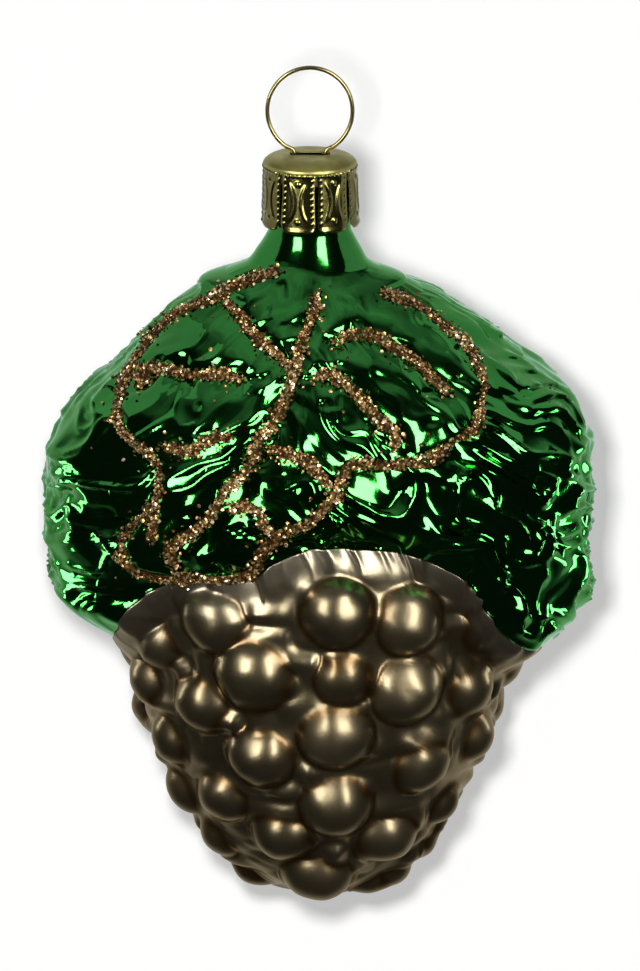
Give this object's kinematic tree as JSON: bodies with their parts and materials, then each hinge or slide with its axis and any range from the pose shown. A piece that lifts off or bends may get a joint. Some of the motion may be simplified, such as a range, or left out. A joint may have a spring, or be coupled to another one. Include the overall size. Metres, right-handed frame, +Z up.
{
  "type": "glass ornament",
  "caption": "Hollow glass bunch of grapes under a lacquered leaf, with glitter trails, a petalled crown cap and a sprung wire loop to hang it by.",
  "frame": {"origin": "inside top of the hanging ring, where a hook or thread carries it", "axes": "+Z up through the ring, the front of the leaf faces -Y, +X to the viewer's right"},
  "size_m": [0.0661, 0.0541, 0.1022],
  "materials": {
    "satin_glass": "satin champagne film over silvered glass",
    "green_lacquer": "glossy clear green over silvered glass",
    "gilt_tin": "bright gilt, pressed",
    "gilt_wire": "bright gilt, drawn",
    "glitter": "copper and gold glitter in glue"
  },
  "bodies": {
    "hanger": {"wire_hanger": "gilt_wire"},
    "cap": {"crown_cap": "gilt_tin"},
    "glass": {"glass_body": "satin_glass", "leaf_lacquer": "green_lacquer", "glitter_midrib": "glitter", "glitter_vein_upper_left": "glitter", "glitter_vein_left": "glitter", "glitter_vein_upper_right": "glitter", "glitter_vein_lower_right": "glitter", "glitter_edge_left": "glitter", "glitter_edge_low": "glitter", "glitter_edge_right": "glitter", "glitter_twig_left": "glitter", "glitter_twig_middle": "glitter", "glitter_twig_low": "glitter"}
  },
  "joints": [
    {"name": "hanger_tilt", "type": "hinge", "parent": "hanger", "child": "cap", "pos_m": [0, 0, -0.01004], "axis": [1, 0, 0], "range_deg": [-5, 5]},
    {"name": "cap_pull", "type": "slide", "parent": "cap", "child": "glass", "axis": [0, 0, -1], "range_m": [0, 0.018]}
  ]
}
